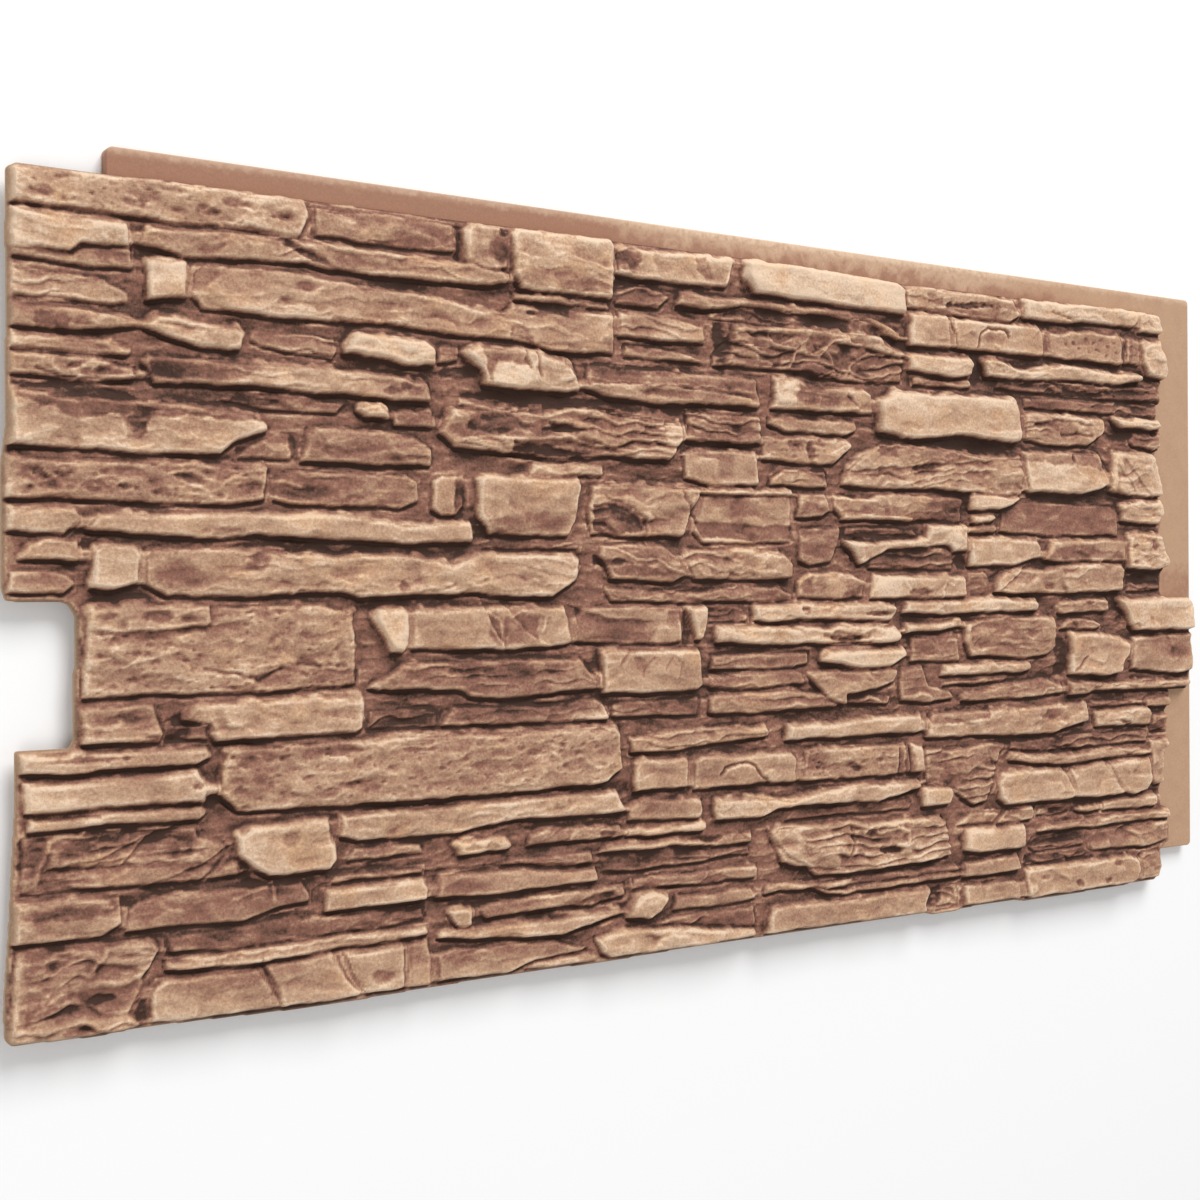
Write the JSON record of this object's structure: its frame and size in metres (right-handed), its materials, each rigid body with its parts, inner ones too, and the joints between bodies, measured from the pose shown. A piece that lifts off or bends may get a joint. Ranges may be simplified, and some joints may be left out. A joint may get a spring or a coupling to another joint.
{
  "type": "faux stone wall panel",
  "caption": "Moulded wall panel with a dry stacked ledge stone face, flanges on two edges and laps on the other two that interlock with its neighbours.",
  "frame": {"origin": "centre of the bounding box's bottom face, on the plane of the panel's back", "axes": "the panel lies on its back: +X runs along the stone courses to the side flange, +Y runs up the wall to the top flange, +Z points out of the wall"},
  "size_m": [1.284, 0.636, 0.0314],
  "materials": {
    "moulded_polyurethane": "painted and dry brushed stone texture"
  },
  "bodies": {
    "root": {"stone_panel": "moulded_polyurethane"}
  },
  "joints": []
}
